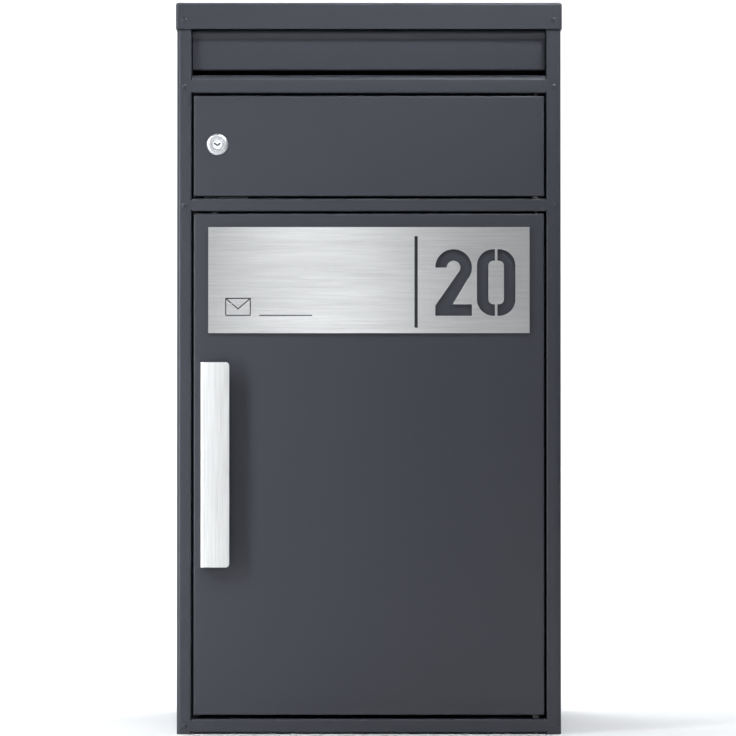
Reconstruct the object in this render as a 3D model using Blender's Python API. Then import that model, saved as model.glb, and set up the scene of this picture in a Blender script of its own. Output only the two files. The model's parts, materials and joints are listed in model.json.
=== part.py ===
"""Free-standing parcel letterbox: a folded sheet-steel cabinet with a letter flap, a lockable letter door and
a self-locking parcel door. Every dimension below is in millimetres; UNIT turns them into Blender's metres.
+Z is up, the doors face -Y and the origin is at the middle of the footprint."""

import math

import bmesh
import bpy
from mathutils import Matrix

UNIT = 0.001

# Cabinet
HEIGHT = 800.0
HALF_WIDTH = 210.0
DEPTH = 340.0
SHEET = 1.2
AIR = 0.3  # left between pieces that rest on each other
BEND = 1.4  # centre-line radius of a fold
HANDLE_REACH = 24.0
FRONT = HANDLE_REACH - (DEPTH + HANDLE_REACH) / 2
BACK = FRONT + DEPTH

# Side panels: the front flange is the visible column beside the doors
COLUMN_INNER = 194.0
RETURN_DEPTH = 22.0
COLUMN_EDGE = 3.4  # centre-line radius of the column's outer fold
STOP_LIP = 8.0
STOP_TOP = 722.5
REAR_FLANGE = 16.0
FOOT_FLANGE = 25.0
PANEL_TOP = HEIGHT - 1.6
REAR_FLANGE_Y = BACK - SHEET - AIR - SHEET / 2

# Roof
ROOF_SHEET = 1.0
ROOF_HALF = HALF_WIDTH + AIR + ROOF_SHEET
LIP_BOTTOM = 771.0
LIP_FRONT = FRONT - 2.5
ROOF_EDGE = 3.0

# Cross rails, as (bottom, top)
TOP_RAIL = (773.0, 797.5)
UPPER_RAIL = (701.0, 721.0)
MIDDLE_RAIL = (571.5, 585.5)
LOWER_RAIL = (2.0, 17.0)
RAIL_FLANGE = 16.0
SILL_RADIUS = 6.0
TAB_FRONT = FRONT + SHEET + 0.4
RIVET_X = 202.0
RIVET_HEAD = 3.2
RIVET_SHANK = 1.6

RAILS = (TOP_RAIL, UPPER_RAIL, MIDDLE_RAIL, LOWER_RAIL)
WALL_HOLE_X = 150.0
WALL_HOLES_Z = (100.0, 700.0)
WALL_HOLE_RADIUS = 4.5

# Doors
DOOR_HALF = 191.7
DOOR_FOLD = 18.0
DOOR_EDGE = 1.8
LETTER_DOOR = (588.0, 698.0)
PARCEL_DOOR = (21.0, 569.0)
HINGE_X = DOOR_HALF - 9.0
HINGE_Y = FRONT + 5.0
HINGE_PIN = 2.0

# Letter flap
ROD_Y = FRONT + 12.0
ROD_Z = 768.0
ROD_RADIUS = 2.5
FLAP_HALF = 193.2
FLAP_DROP = 40.6
KNUCKLE = ROD_RADIUS + AIR + SHEET / 2

# Shelf between the compartments
SHELF_TOP = 581.2
SHELF_FLANGE = 8.0
FLOOR_TOP = 5.0

# Cam lock
LOCK_X = -165.7
LOCK_Z = 644.5
ROSETTE = 12.0
BARREL = 9.5
PLUG = 5.8
CAM_FRONT = FRONT + RETURN_DEPTH + AIR
CAM_THICK = 2.0
CAM_REACH = 32.0

# Parcel door latch
BOLT_X = -170.0
BOLT_Y = FRONT + 36.0
BOLT_RADIUS = 4.0
BOLT_TIP = 563.0
BOLT_TOP = 634.0
LEVER_X = -145.0
LEVER_Z = 602.0
LEVER_FRONT = FRONT + 26.7
LEVER_THICK = 2.0
LEVER_ARM = LEVER_X - BOLT_X
LEVER_TILT = math.radians(13.75)
CROSS_PIN_Z = LEVER_Z + LEVER_ARM * math.tan(LEVER_TILT)
KEEPER_Z = 556.6
GUIDE_TOP = 622.0

# Handle and name plate
HANDLE_X = (-183.3, -151.7)
HANDLE_Z = (183.0, 406.0)
HANDLE_SHEET = 2.0
HANDLE_SCREW_X = -172.0
HANDLE_SCREWS_Z = (203.0, 386.0)
PLATE_HALF = 175.5
PLATE_Z = (438.0, 554.0)
PLATE_FRONT = FRONT - 3.8
PLATE_THICK = 1.5
DIGIT_Z = 457.0
DIGIT_HEIGHT = 72.7
STROKE = 12.5

SMOOTH_BELOW = math.radians(35.0)
AXES = {"x": (1, 2, 0), "y": (0, 2, 1), "z": (0, 1, 2)}  # where an outline's u, v and its length go


def material(name, colour, roughness, metallic):
    made = bpy.data.materials.new(name)
    made.use_nodes = True
    shader = made.node_tree.nodes["Principled BSDF"]
    shader.inputs["Base Color"].default_value = (*colour, 1.0)
    shader.inputs["Roughness"].default_value = roughness
    shader.inputs["Metallic"].default_value = metallic
    made.diffuse_color = (*colour, 1.0)
    return made


def rounded(line, radii, steps=3):
    """The open line with its inner corners turned into arcs. radii is one radius, or one for each corner."""
    corners = len(line) - 2
    radii = radii if isinstance(radii, (list, tuple)) else [radii] * corners
    points = [line[0]]
    for i, radius in enumerate(radii, start=1):
        (ax, ay), (bx, by), (cx, cy) = line[i - 1 : i + 2]
        start = math.atan2(by - ay, bx - ax)
        turn = math.remainder(math.atan2(cy - by, cx - bx) - start, 2 * math.pi)
        back = radius * math.tan(abs(turn) / 2)
        side = math.copysign(radius, turn)
        x = bx - back * math.cos(start) - side * math.sin(start)
        y = by - back * math.sin(start) + side * math.cos(start)
        for k in range(steps + 1):
            heading = start + turn * k / steps
            points.append((x + side * math.sin(heading), y - side * math.cos(heading)))
    return points + [line[-1]]


def strip(line, thickness):
    """Outline of a sheet of this thickness whose centre follows the open line."""
    sides = ([], [])
    for i, (x, y) in enumerate(line):
        before = line[max(i - 1, 0)]
        after = line[min(i + 1, len(line) - 1)]
        into = math.atan2(y - before[1], x - before[0]) if i else None
        out = math.atan2(after[1] - y, after[0] - x) if i < len(line) - 1 else into
        into = out if into is None else into
        half_turn = math.remainder(out - into, 2 * math.pi) / 2
        reach = thickness / 2 / math.cos(half_turn)
        normal = into + half_turn + math.pi / 2
        for side, sign in zip(sides, (1, -1)):
            side.append((x + sign * reach * math.cos(normal), y + sign * reach * math.sin(normal)))
    return sides[0] + sides[1][::-1]


def arc(centre, radius, start, end, steps):
    angles = [math.radians(start + (end - start) * k / steps) for k in range(steps + 1)]
    return [(centre[0] + radius * math.cos(a), centre[1] + radius * math.sin(a)) for a in angles]


def prism(outline, axis, low, high):
    """Shell of a closed outline drawn out along an axis."""
    u, v, w = AXES[axis]
    points = []
    for length in (low, high):
        for point in outline:
            place = [0.0, 0.0, 0.0]
            place[u], place[v], place[w] = point[0], point[1], length
            points.append(place)
    count = len(outline)
    ends = [list(range(count))[::-1], list(range(count, 2 * count))]
    walls = [[i, (i + 1) % count, count + (i + 1) % count, count + i] for i in range(count)]
    return points, ends + walls


def box(low, high):
    outline = [(low[0], low[1]), (high[0], low[1]), (high[0], high[1]), (low[0], high[1])]
    return prism(outline, "z", low[2], high[2])


def turned(profile, axis, centre, segments=16, ring=False):
    """Shell of a profile of (radius, place along the axis) turned about the axis through centre (u, v).
    A ring's profile is a closed loop; any other runs from the axis out and back to it."""
    u, v, w = AXES[axis]
    points = []
    rows = []
    for radius, length in profile:
        row = []
        for k in range(segments if radius > 0 else 1):
            angle = 2 * math.pi * k / segments
            place = [0.0, 0.0, 0.0]
            place[u] = centre[0] + radius * math.cos(angle)
            place[v] = centre[1] + radius * math.sin(angle)
            place[w] = length
            row.append(len(points))
            points.append(place)
        rows.append(row)
    faces = []
    for i in range(len(rows) if ring else len(rows) - 1):
        a, b = rows[i], rows[(i + 1) % len(rows)]
        for k in range(segments):
            after = (k + 1) % segments
            face = [a[k % len(a)], a[after % len(a)], b[after % len(b)], b[k % len(b)]]
            faces.append(list(dict.fromkeys(face)))
    return points, faces


def cylinder(centre, radius, axis, low, high, segments=16):
    return turned([(0, low), (radius, low), (radius, high), (0, high)], axis, centre, segments)


def tilted(shell, pivot, angle):
    """The shell turned in the XZ plane about the pivot (x, z)."""
    points, faces = shell
    c, s = math.cos(angle), math.sin(angle)
    moved = []
    for x, y, z in points:
        dx, dz = x - pivot[0], z - pivot[1]
        moved.append((pivot[0] + c * dx - s * dz, y, pivot[1] + s * dx + c * dz))
    return moved, faces


def mesh_of(name, shells):
    build = bmesh.new()
    for points, faces in shells:
        corners = [build.verts.new([UNIT * value for value in point]) for point in points]
        for face in faces:
            build.faces.new([corners[i] for i in face])
    bmesh.ops.recalc_face_normals(build, faces=build.faces)
    mesh = bpy.data.meshes.new(name)
    build.to_mesh(mesh)
    build.free()
    return mesh


def place(name, mesh, look=None):
    mesh.shade_smooth()
    mesh.set_sharp_from_angle(angle=SMOOTH_BELOW)
    piece = bpy.data.objects.new(name, mesh)
    bpy.context.collection.objects.link(piece)
    if look:
        mesh.materials.append(look)
    return piece


def solid(name, look, *shells):
    return place(name, mesh_of(name, shells), look)


def combine(piece, operation, shells):
    helper = place(f"{piece.name}_{operation.lower()}", mesh_of(piece.name, shells))
    helper.hide_render = True
    helper.display_type = "WIRE"
    change = piece.modifiers.new(helper.name, "BOOLEAN")
    change.operation = operation
    change.solver = "EXACT"
    change.object = helper
    return piece


def cut(piece, *shells):
    return combine(piece, "DIFFERENCE", shells)


def join(piece, *shells):
    return combine(piece, "UNION", shells)


def round_edges(piece, radius, chosen, segments=3):
    """Rounds the edges whose two ends, in millimetres, chosen(a, b) accepts."""
    build = bmesh.new()
    build.from_mesh(piece.data)
    edges = []
    for edge in build.edges:
        a, b = (corner.co / UNIT for corner in edge.verts)
        if chosen(a, b):
            edges.append(edge)
    bmesh.ops.bevel(build, geom=edges, offset=radius * UNIT, segments=segments, profile=0.5, affect="EDGES")
    build.to_mesh(piece.data)
    build.free()
    return piece


def on_axis(name, at, pieces, carrier=None):
    """Parents moving pieces to an empty on their joint's axis, and leaves them where they are."""
    axis = bpy.data.objects.new(name, None)
    axis.location = [UNIT * value for value in at]
    bpy.context.collection.objects.link(axis)
    for piece in pieces:
        piece.parent = axis
        piece.matrix_parent_inverse = Matrix.Translation(axis.location).inverted()
    if carrier:
        axis.parent = carrier
        axis.matrix_parent_inverse = Matrix.Translation(carrier.location).inverted()
    return axis


def side_panel(name, side, look):
    """Web with the front column, its return (a door stop on the lock side), the rear flange and a foot."""
    web = side * (HALF_WIDTH - SHEET / 2)
    inner = side * (COLUMN_INNER + SHEET / 2)
    back_of_return = FRONT + RETURN_DEPTH - SHEET / 2
    line = [
        (inner, back_of_return),
        (inner, FRONT + SHEET / 2),
        (web, FRONT + SHEET / 2),
        (web, REAR_FLANGE_Y),
        (side * (HALF_WIDTH - REAR_FLANGE), REAR_FLANGE_Y),
    ]
    radii = [BEND, COLUMN_EDGE, BEND]
    if side < 0:
        line.insert(0, (side * (COLUMN_INNER - STOP_LIP), back_of_return))
        radii.insert(0, BEND)
    panel = solid(name, look, prism(strip(rounded(line, radii, 5), SHEET), "z", 0.0, PANEL_TOP))
    foot_x = sorted((web, side * (HALF_WIDTH - FOOT_FLANGE)))
    join(panel, box((foot_x[0], FRONT + COLUMN_EDGE + SHEET / 2, 0.0), (foot_x[1], BACK - 3.0, SHEET)))
    slot_x = sorted((side * (COLUMN_INNER - 1.0), side * (COLUMN_INNER + 3.0)))
    openings = [cylinder((ROD_Y, ROD_Z), ROD_RADIUS + AIR, "x", *slot_x)]
    for low, high in RAILS:
        slot_front = (slot_x[0], TAB_FRONT - AIR, low + 1.6)
        slot_back = (slot_x[1], TAB_FRONT + SHEET + AIR, high - 1.2)
        openings.append(box(slot_front, slot_back))
    if side < 0:  # the letter flap swings in past the stop's upper end
        stop_edge = side * (COLUMN_INNER - STOP_LIP) + 2.0
        openings.append(box((slot_x[0], FRONT + 18.5, STOP_TOP), (stop_edge, FRONT + 27.0, PANEL_TOP + 5.0)))
    cut(panel, *openings)
    return cut(panel, *rivet_holes(RAILS, (side,), FRONT - 1.0, FRONT + SHEET + AIR))


def rivet_height(heights):
    if heights == TOP_RAIL:
        return 780.5
    if heights == UPPER_RAIL:
        return 708.0
    return (heights[0] + heights[1]) / 2 - 0.5


def rivet_holes(rails, sides, front, back):
    places = [(side * RIVET_X, rivet_height(heights)) for heights in rails for side in sides]
    return [cylinder(at, RIVET_SHANK + AIR, "y", front, back, 12) for at in places]


def rail(name, heights, look, top_radius=BEND, flanges=(RAIL_FLANGE, RAIL_FLANGE), pin_holes=()):
    """Channel between the columns, with joggled tabs riveted behind them and holes for the hinge pins.

    flanges is (bottom, top)."""
    low, high = heights
    end = COLUMN_INNER - AIR
    line = [
        (FRONT + flanges[0], low + SHEET / 2),
        (FRONT + SHEET / 2, low + SHEET / 2),
        (FRONT + SHEET / 2, high - SHEET / 2),
        (FRONT + flanges[1], high - SHEET / 2),
    ]
    steps = 5 if top_radius > BEND else 3
    channel = solid(name, look, prism(strip(rounded(line, [BEND, top_radius], steps), SHEET), "x", -end, end))
    tab_top = high - max(2.0, top_radius)
    tab_back = TAB_FRONT + SHEET
    for side in (-1, 1):
        joggle_x = sorted((side * (end - 3.0), side * (end - AIR / 2)))
        tab_x = sorted((side * (end - 2.0), side * (HALF_WIDTH - COLUMN_EDGE - 0.8)))
        join(channel, box((joggle_x[0], FRONT + AIR, low + 2.2), (joggle_x[1], tab_back, tab_top - 0.3)))
        join(channel, box((tab_x[0], TAB_FRONT, low + 2.0), (tab_x[1], tab_back, tab_top)))
    holes = rivet_holes([heights], (-1, 1), FRONT, FRONT + 5.0)
    for height in pin_holes:
        holes.append(cylinder((HINGE_X, HINGE_Y), HINGE_PIN + AIR, "z", height - 2.0, height + 2.0))
    return cut(channel, *holes)


def roof(look):
    """Cap folded over the cabinet, with a hemmed front lip and a rear flange inside the back panel."""
    cap = solid("roof", look, box((-ROOF_HALF, LIP_FRONT, LIP_BOTTOM), (ROOF_HALF, BACK - AIR, HEIGHT)))

    def folded(a, b):
        on_top = a.z > HEIGHT - 1 and b.z > HEIGHT - 1 and min(a.y, b.y) < FRONT
        corner = a.y < FRONT and b.y < FRONT and abs(a.z - b.z) > 1
        return on_top or corner

    round_edges(cap, ROOF_EDGE, folded, 4)
    inner = ROOF_HALF - ROOF_SHEET
    inside_front = LIP_FRONT + ROOF_SHEET
    cut(cap, box((-inner, inside_front, LIP_BOTTOM - 5.0), (inner, BACK + 5.0, HEIGHT - ROOF_SHEET)))
    front = LIP_FRONT + ROOF_SHEET / 2
    back = FRONT - AIR
    join(cap, box((-inner - 0.4, front, LIP_BOTTOM), (inner + 0.4, back, LIP_BOTTOM + 8.0)))
    join(cap, box((-192.0, BACK - 2.9, 778.0), (192.0, BACK - 1.7, HEIGHT - ROOF_SHEET / 2)))
    for side in (-1, 1):
        tab_x = sorted((side * (COLUMN_INNER + 1.0), side * (inner + 0.4)))
        join(cap, box((tab_x[0], front, 775.0), (tab_x[1], back, 797.0)))
    return cut(cap, *rivet_holes([TOP_RAIL], (-1, 1), LIP_FRONT - 2.0, FRONT + 1.0))


def tray(name, low, high, look, upwards, open_front=False):
    """Sheet with a flange folded along each side."""
    panel = solid(name, look, box(low, high))
    inner_low = [low[0] + SHEET, low[1] - 5.0 if open_front else low[1] + SHEET, low[2] + SHEET]
    inner_high = [high[0] - SHEET, high[1] - SHEET, high[2] + 5.0]
    if not upwards:
        inner_low[2] = low[2] - 5.0
        inner_high[2] = high[2] - SHEET
    cut(panel, box(inner_low, inner_high))
    corner = COLUMN_INNER - STOP_LIP - 1.5
    reach = FRONT + RETURN_DEPTH + 1.5
    left = box((-HALF_WIDTH - 5.0, low[1] - 5.0, low[2] - 5.0), (-corner, reach, high[2] + 5.0))
    right = box((corner, low[1] - 5.0, low[2] - 5.0), (HALF_WIDTH + 5.0, reach, high[2] + 5.0))
    return cut(panel, left, right)


def carcass(paint):
    side_panel("left_side_panel", -1, paint)
    side_panel("right_side_panel", 1, paint)
    back_half = HALF_WIDTH - AIR
    back = solid("back_panel", paint, box((-back_half, BACK - SHEET, 2.0), (back_half, BACK, PANEL_TOP)))
    places = [(x, z) for x in (-WALL_HOLE_X, WALL_HOLE_X) for z in WALL_HOLES_Z]
    cut(back, *[cylinder(at, WALL_HOLE_RADIUS, "y", BACK - 3.0, BACK + 2.0) for at in places])
    half = HALF_WIDTH - SHEET - 0.6
    tray_back = BACK - 3.2
    tray("floor_panel", (-half, FRONT + 2.0, FLOOR_TOP - SHEET), (half, tray_back, 18.0), paint, True, True)
    shelf_low = (-half, FRONT + RAIL_FLANGE + 1.5, SHELF_TOP - SHELF_FLANGE)
    shelf = tray("compartment_floor", shelf_low, (half, tray_back, SHELF_TOP), paint, False)
    cut(shelf, cylinder((BOLT_X, BOLT_Y), BOLT_RADIUS + 0.6, "z", SHELF_TOP - 5.0, SHELF_TOP + 5.0))
    roof(paint)
    rail("top_rail", TOP_RAIL, paint, flanges=(7.0, RAIL_FLANGE))
    rail("upper_rail", UPPER_RAIL, paint, SILL_RADIUS, (RAIL_FLANGE, 20.0), pin_holes=[UPPER_RAIL[0]])
    rail("middle_rail", MIDDLE_RAIL, paint, pin_holes=MIDDLE_RAIL)
    rail("lower_rail", LOWER_RAIL, paint, pin_holes=[LOWER_RAIL[1]])
    guard = [(FRONT + 24.0, 713.0), (FRONT + 80.0, 682.0), (FRONT + 80.0, 668.0)]
    solid("letter_guard", paint, prism(strip(rounded(guard, 3.0), SHEET), "x", -half, half))


def rivets(paint):
    """Dome-headed rivets through column and rail; the top pair also holds the roof's lip."""
    named = (("roof", TOP_RAIL), ("upper", UPPER_RAIL), ("middle", MIDDLE_RAIL), ("lower", LOWER_RAIL))
    for side_name, side in (("left", -1), ("right", 1)):
        for rail_name, heights in named:
            under = (LIP_FRONT if heights == TOP_RAIL else FRONT) - AIR
            tail = TAB_FRONT + SHEET + AIR
            profile = [
                (0.0, under - 1.1),
                (RIVET_HEAD * 0.5, under - 1.0),
                (RIVET_HEAD * 0.85, under - 0.6),
                (RIVET_HEAD, under),
                (RIVET_SHANK, under),
                (RIVET_SHANK, tail),
                (RIVET_SHANK * 1.7, tail),
                (RIVET_SHANK * 1.4, tail + 1.2),
                (0.0, tail + 1.2),
            ]
            at = (side * RIVET_X, rivet_height(heights))
            solid(f"rivet_{rail_name}_{side_name}", paint, turned(profile, "y", at, 12))


def hinge_pin(name, look, tip, head, thick=2.0):
    """Pin from its tip, inside the door, to the underside of its head, inside the rail."""
    out = math.copysign(thick, head - tip)
    chamfer = math.copysign(0.8, head - tip)
    profile = [
        (0.0, tip),
        (HINGE_PIN - 0.6, tip),
        (HINGE_PIN, tip + chamfer),
        (HINGE_PIN, head),
        (3.4, head),
        (3.4, head + out),
        (0.0, head + out),
    ]
    solid(name, look, turned(profile, "z", (HINGE_X, HINGE_Y), 12))


def hinges(steel, plastic):
    flange = SHEET + AIR
    hinge_pin("letter_hinge_pin_upper", steel, LETTER_DOOR[1] - 7.0, UPPER_RAIL[0] + flange)
    hinge_pin("letter_hinge_pin_lower", steel, LETTER_DOOR[0] + 7.0, MIDDLE_RAIL[1] - flange)
    hinge_pin("parcel_hinge_pin_upper", steel, PARCEL_DOOR[1] - 7.0, MIDDLE_RAIL[0] + flange)
    hinge_pin("parcel_hinge_pin_lower", steel, PARCEL_DOOR[0] + 7.0, LOWER_RAIL[1] - flange)
    for name, low, high in (
        ("letter_hinge_washer", MIDDLE_RAIL[1], LETTER_DOOR[0]),
        ("parcel_hinge_washer", LOWER_RAIL[1], PARCEL_DOOR[0]),
    ):
        inner = HINGE_PIN + AIR
        profile = [(inner, low + AIR), (4.2, low + AIR), (4.2, high - AIR), (inner, high - AIR)]
        solid(name, plastic, turned(profile, "z", (HINGE_X, HINGE_Y), ring=True))


def door_buffers(rubber):
    """Rubber discs on the lock-side stop lip, which the doors' folded edges close against."""
    lip = FRONT + RETURN_DEPTH - SHEET
    x = -(COLUMN_INNER - STOP_LIP / 2)
    heights = {"buffer_letter_door": 612.0, "buffer_parcel_lower": 90.0, "buffer_parcel_upper": 470.0}
    for name, z in heights.items():
        solid(name, rubber, cylinder((x, z), 3.0, "y", FRONT + DOOR_FOLD + AIR, lip - AIR, 12))


def letter_flap(paint, steel):
    """Hanging flap: a knuckle rolled round the rod, a flat face straight below it and a hem at its foot."""
    low = ROD_Z - FLAP_DROP
    rod_end = HALF_WIDTH - SHEET - 0.5
    solid("flap_rod", steel, cylinder((ROD_Y, ROD_Z), ROD_RADIUS, "x", -rod_end, rod_end, 14))
    roll = arc((ROD_Y, ROD_Z), KNUCKLE, 215.0, -20.0, 9)
    line = [(ROD_Y + 5.0, low), (ROD_Y, low), (ROD_Y, ROD_Z - 6.2)] + roll
    return solid("letter_flap", paint, prism(strip(line, SHEET), "x", -FLAP_HALF, FLAP_HALF))


def door_pan(name, heights, look):
    """Door skin with its four edges folded back, open behind, and the two hinge holes."""
    low, high = heights
    door = solid(name, look, box((-DOOR_HALF, FRONT, low), (DOOR_HALF, FRONT + DOOR_FOLD, high)))

    def folded(a, b):
        front = max(a.y, b.y) < FRONT + 1
        along = abs(a.y - b.y) > 1
        return front or along

    round_edges(door, DOOR_EDGE, folded)
    inner = DOOR_HALF - SHEET
    cut(door, box((-inner, FRONT + SHEET, low + SHEET), (inner, FRONT + DOOR_FOLD + 5.0, high - SHEET)))
    return cut(
        door,
        *[cylinder((HINGE_X, HINGE_Y), HINGE_PIN + AIR, "z", wall - 3.0, wall + 3.0) for wall in heights],
    )


def letter_door(paint):
    door = door_pan("letter_door", LETTER_DOOR, paint)
    return cut(door, cylinder((LOCK_X, LOCK_Z), BARREL + AIR, "y", FRONT - 3.0, FRONT + 4.0, 20))


def cam_lock(chrome, zinc):
    """The housing and nut clamped to the letter door, then the plug, cam and cam nut that turn in it."""
    at = (LOCK_X, LOCK_Z)
    bore = PLUG + AIR
    housing = [
        (bore, FRONT - 2.6),
        (ROSETTE - 3.6, FRONT - 3.0),
        (ROSETTE - 1.2, FRONT - 2.4),
        (ROSETTE, FRONT - 1.2),
        (ROSETTE, FRONT - AIR),
        (BARREL, FRONT - AIR),
        (BARREL, FRONT + 19.0),
        (bore, FRONT + 19.0),
    ]
    housing = solid("lock_housing", chrome, turned(housing, "y", at, 24, ring=True))
    nut_front = FRONT + SHEET + AIR
    nut = solid("lock_nut", zinc, cylinder(at, 15.0, "y", nut_front, nut_front + 4.0, 6))
    cut(nut, cylinder(at, BARREL + AIR, "y", FRONT, FRONT + 8.0, 20))
    tail = 3.0
    plug = [
        (0.0, FRONT - 2.2),
        (PLUG - 0.5, FRONT - 2.2),
        (PLUG, FRONT - 1.7),
        (PLUG, CAM_FRONT - AIR),
        (tail, CAM_FRONT - AIR),
        (tail, CAM_FRONT + CAM_THICK + 4.0),
        (0.0, CAM_FRONT + CAM_THICK + 4.0),
    ]
    key_line = [(LOCK_X - 3.5, LOCK_Z + 1.5), (LOCK_X + 0.2, LOCK_Z - 1.2), (LOCK_X + 3.2, LOCK_Z + 1.5)]
    plug = solid("lock_plug", chrome, turned(plug, "y", at, 20))
    cut(plug, prism(strip(key_line, 1.3), "y", FRONT - 4.0, FRONT + 3.0))
    foot = LOCK_Z - CAM_REACH + 8.0
    outline = arc((LOCK_X, LOCK_Z), 8.0, 0.0, 180.0, 8) + arc((LOCK_X, foot), 8.0, 180.0, 360.0, 8)
    cam = solid("lock_cam", zinc, prism(outline, "y", CAM_FRONT, CAM_FRONT + CAM_THICK))
    cut(cam, cylinder(at, tail + AIR, "y", CAM_FRONT - 2.0, CAM_FRONT + 5.0))
    behind = CAM_FRONT + CAM_THICK + AIR
    cam_nut = solid("cam_nut", zinc, cylinder(at, 6.0, "y", behind, behind + 3.0, 6))
    cut(cam_nut, cylinder(at, tail + AIR, "y", behind - 2.0, behind + 6.0))
    return [housing, nut], [plug, cam, cam_nut]


def parcel_door(paint, zinc):
    door = door_pan("parcel_door", PARCEL_DOOR, paint)
    screws = [(HANDLE_SCREW_X, z) for z in HANDLE_SCREWS_Z]
    cut(door, *[cylinder(at, 2.3, "y", FRONT - 3.0, FRONT + 4.0, 12) for at in screws])
    seat = FRONT + SHEET + AIR + SHEET / 2
    crown = FRONT + 14.0
    hat = [(-30.0, seat), (-18.0, seat), (-18.0, crown), (18.0, crown), (18.0, seat), (30.0, seat)]
    stiffener = solid("door_stiffener", paint, prism(strip(rounded(hat, BEND, 2), SHEET), "z", 60.0, 530.0))
    angle = [(seat, 528.0), (seat, KEEPER_Z), (BOLT_Y + 10.0, KEEPER_Z)]
    outline = strip(rounded(angle, BEND), SHEET)
    keeper = solid("latch_keeper", zinc, prism(outline, "x", BOLT_X - 10.0, BOLT_X + 10.0))
    hole = BOLT_RADIUS + 1.2
    hole_low = (BOLT_X - hole, BOLT_Y - hole, KEEPER_Z - 4.0)
    cut(keeper, box(hole_low, (BOLT_X + hole, BOLT_Y + hole, KEEPER_Z + 4.0)))
    return [door, stiffener, keeper]


def handle(steel, zinc):
    """Folded strip: foot on the door, web at the door's edge and a plate that the fingers hook behind."""
    left, right = HANDLE_X
    web = left + HANDLE_SHEET / 2
    foot = FRONT - AIR - HANDLE_SHEET / 2
    plate = FRONT - HANDLE_REACH + HANDLE_SHEET / 2
    line = [(left + 20.0, foot), (web, foot), (web, plate), (right, plate)]
    grip = solid("handle", steel, prism(strip(rounded(line, 2.0, 4), HANDLE_SHEET), "z", *HANDLE_Z))
    radius = 4.0
    corners = []
    for z, side in ((HANDLE_Z[0], -1), (HANDLE_Z[1], 1)):
        centre = (right - radius, z - side * radius)
        curve = arc(centre, radius, 90.0 * side, 0.0, 5)
        outside = [(right + 2.0, centre[1]), (right + 2.0, z + side * 2.0), (centre[0], z + side * 2.0)]
        corners.append(prism(curve + outside, "y", plate - 3.0, plate + 3.0))
    cut(grip, *corners)
    screws = [(HANDLE_SCREW_X, z) for z in HANDLE_SCREWS_Z]
    cut(grip, *[cylinder(at, 2.3, "y", foot - 3.0, foot + 3.0, 12) for at in screws])
    inside = FRONT + SHEET + AIR
    profile = [
        (0.0, FRONT - 3.6),
        (2.0, FRONT - 3.6),
        (2.0, inside),
        (4.5, inside),
        (3.6, inside + 2.4),
        (0.0, inside + 2.4),
    ]
    names = ("handle_screw_lower", "handle_screw_upper")
    return [grip] + [solid(name, zinc, turned(profile, "y", at, 12)) for name, at in zip(names, screws)]


def digit_two(x, z):
    """Outline of a plain stroke 2, 40 mm wide."""
    middle = (x + 20.0, z + DIGIT_HEIGHT - 20.0)
    over = arc(middle, 20.0, 180.0, -42.0, 12)
    under = arc(middle, 20.0 - STROKE, -42.0, 180.0, 10)
    base = [(x + 19.0, z + STROKE), (x + 40.0, z + STROKE), (x + 40.0, z), (x, z), (x, z + 11.0)]
    return over + base + under


def digit_zero_half(x, z, side):
    """One half of a stencil 0, 42 mm wide, split by a bridge down its middle."""
    half, bridge, corner = 21.0, 1.4, 18.0
    mid = x + half
    inner = corner - STROKE
    out_x = half - corner
    top, foot = z + DIGIT_HEIGHT - corner, z + corner
    outer = arc((out_x, top), corner, 90.0, 0.0, 7) + arc((out_x, foot), corner, 0.0, -90.0, 7)
    hollow = arc((out_x, foot), inner, -90.0, 0.0, 4) + arc((out_x, top), inner, 0.0, 90.0, 4)
    ends = [(bridge, z + DIGIT_HEIGHT)] + outer + [(bridge, z)]
    ends += [(bridge, z + STROKE)] + hollow + [(bridge, z + DIGIT_HEIGHT - STROKE)]
    return [(mid + side * u, v) for u, v in ends]


def name_plate(steel, tape):
    """Stencilled number plate on tape, with an engraved envelope and writing line where a name would go."""
    back = PLATE_FRONT + PLATE_THICK
    blank = box((-PLATE_HALF, PLATE_FRONT, PLATE_Z[0]), (PLATE_HALF, back, PLATE_Z[1]))
    plate = solid("name_plate", steel, blank)
    through = (PLATE_FRONT - 2.0, back + 2.0)
    shapes = [
        prism(digit_two(72.5, DIGIT_Z), "y", *through),
        prism(digit_zero_half(118.0, DIGIT_Z, -1), "y", *through),
        prism(digit_zero_half(118.0, DIGIT_Z, 1), "y", *through),
        box((49.8, through[0], 444.0), (53.3, through[1], 544.0)),
    ]
    cut(plate, *shapes)
    left, right, foot, top, deep = -157.0, -129.0, 457.5, 476.0, PLATE_FRONT + 0.4
    centre = ((left + right) / 2, foot + 7.0)
    border = [(left + 0.6, foot), (left + 0.6, top), (right - 0.6, top), (right - 0.6, foot)]
    outer = strip(border, 1.2)
    cut(plate, prism(outer, "y", PLATE_FRONT - 2.0, deep))
    cut(plate, box((left + 0.8, PLATE_FRONT - 2.0, foot - 0.6), (right - 0.8, deep, foot + 0.6)))
    flap = strip([(left + 1.0, top - 0.5), centre, (right - 1.0, top - 0.5)], 1.2)
    cut(plate, prism(flap, "y", PLATE_FRONT - 2.0, deep))
    cut(plate, box((-120.0, PLATE_FRONT - 2.0, foot - 0.6), (-62.0, deep, foot + 0.6)))
    pieces = [plate]
    for name, x in (("plate_tape_left", (-172.0, -148.0)), ("plate_tape_right", (163.0, 173.0))):
        low, high = (x[0], back + AIR, PLATE_Z[0] + 4.0), (x[1], FRONT - AIR, PLATE_Z[1] - 4.0)
        pieces.append(solid(name, tape, box(low, high)))
    return pieces


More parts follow.
